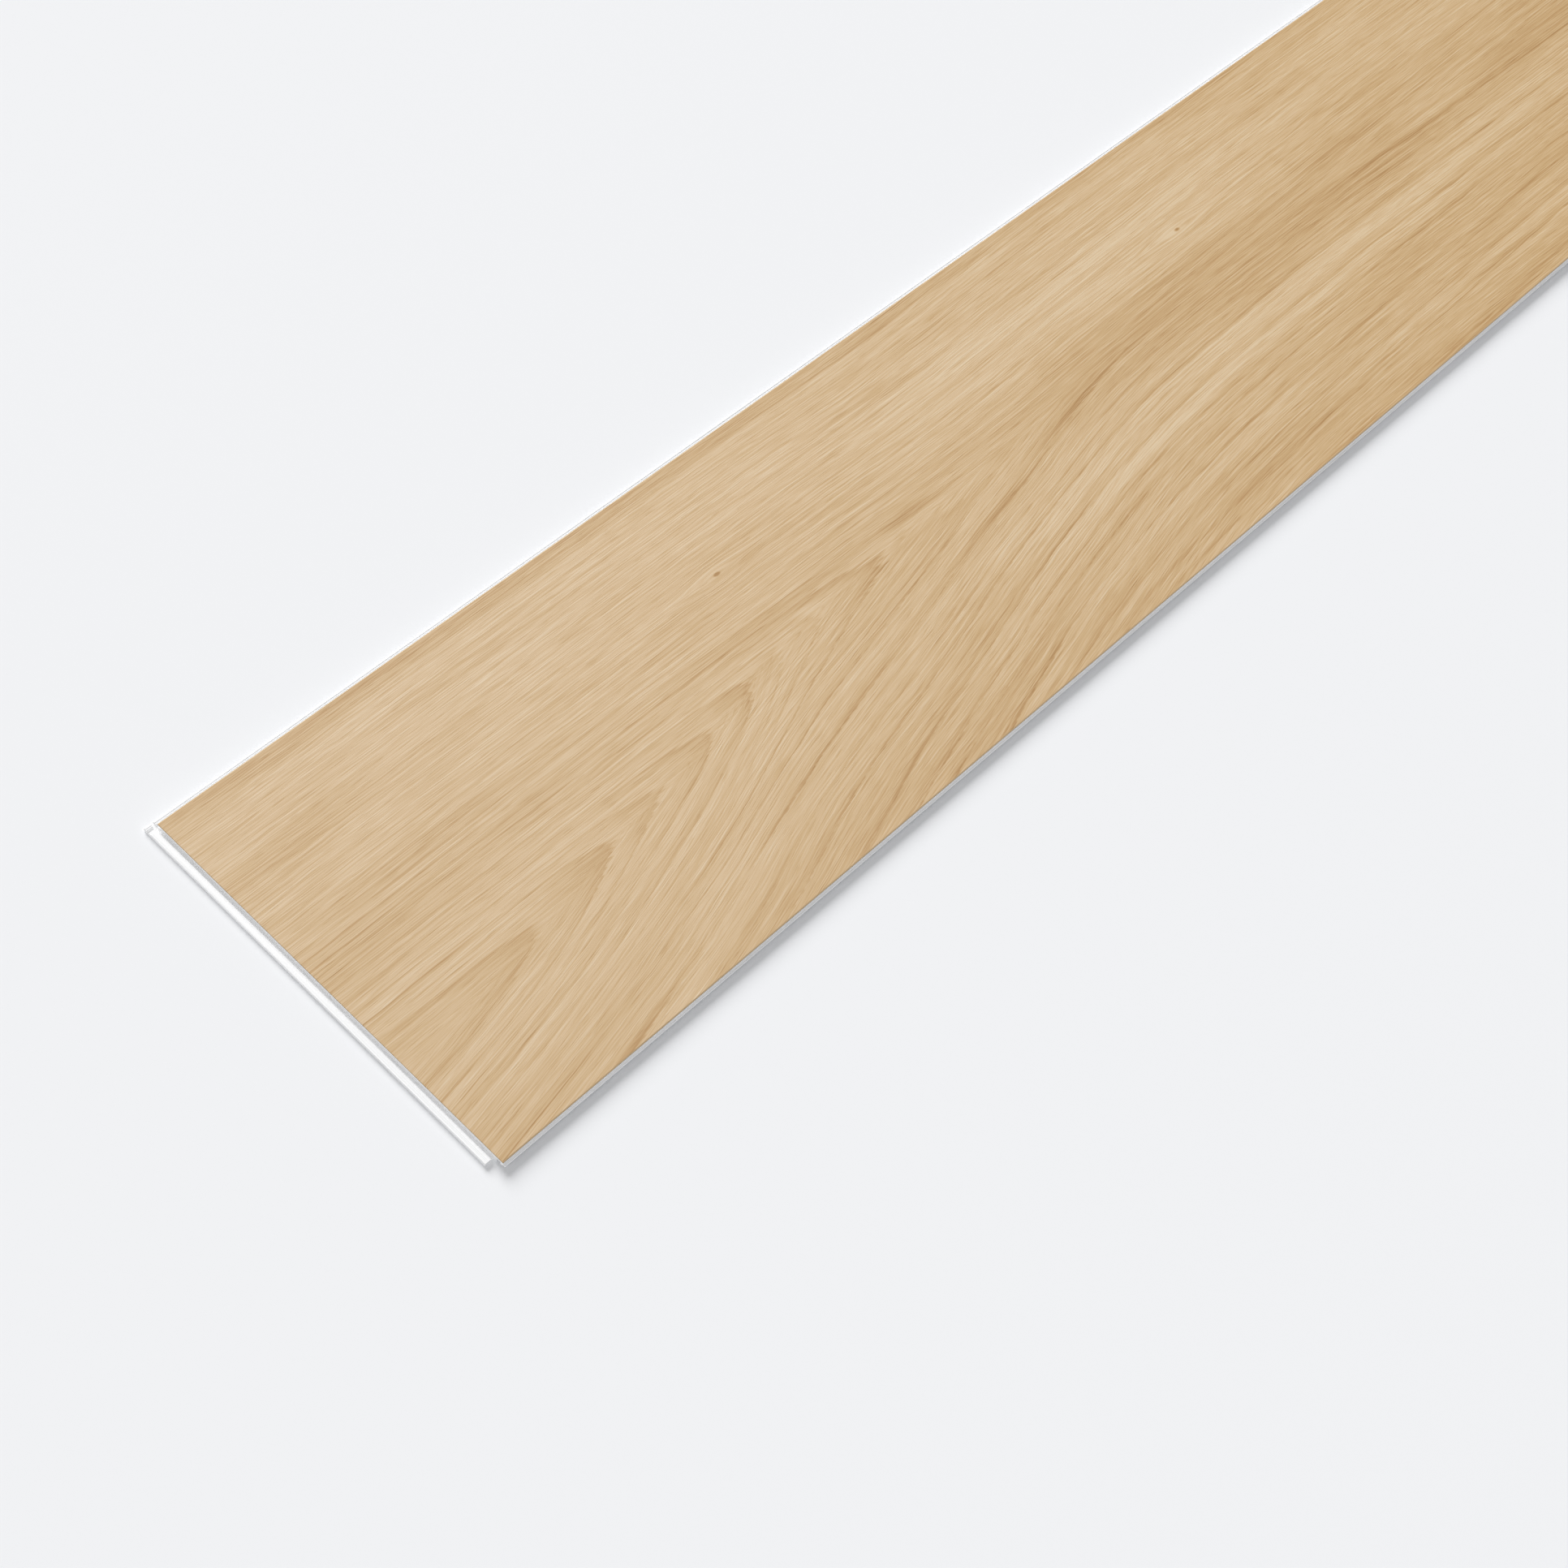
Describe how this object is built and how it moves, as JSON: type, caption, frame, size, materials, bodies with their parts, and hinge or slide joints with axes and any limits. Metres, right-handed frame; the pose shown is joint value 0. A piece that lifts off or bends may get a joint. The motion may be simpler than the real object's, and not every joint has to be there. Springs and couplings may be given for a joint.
{
  "type": "rigid core vinyl plank",
  "caption": "Click flooring plank with a pale oak decor face on a white rigid core, groove and tongue on the long edges, drop lock on the ends.",
  "frame": {"origin": "on the underside, under the middle of the cover face", "axes": "+X along the plank from the lip end to the hook end, +Y across it towards the groove edge, +Z out of the decor face"},
  "size_m": [1.5292, 0.233, 0.005],
  "materials": {
    "core": "matte",
    "decor_layer": "satin"
  },
  "bodies": {
    "root": {"core": "core", "decor_layer": "decor_layer"}
  },
  "joints": []
}
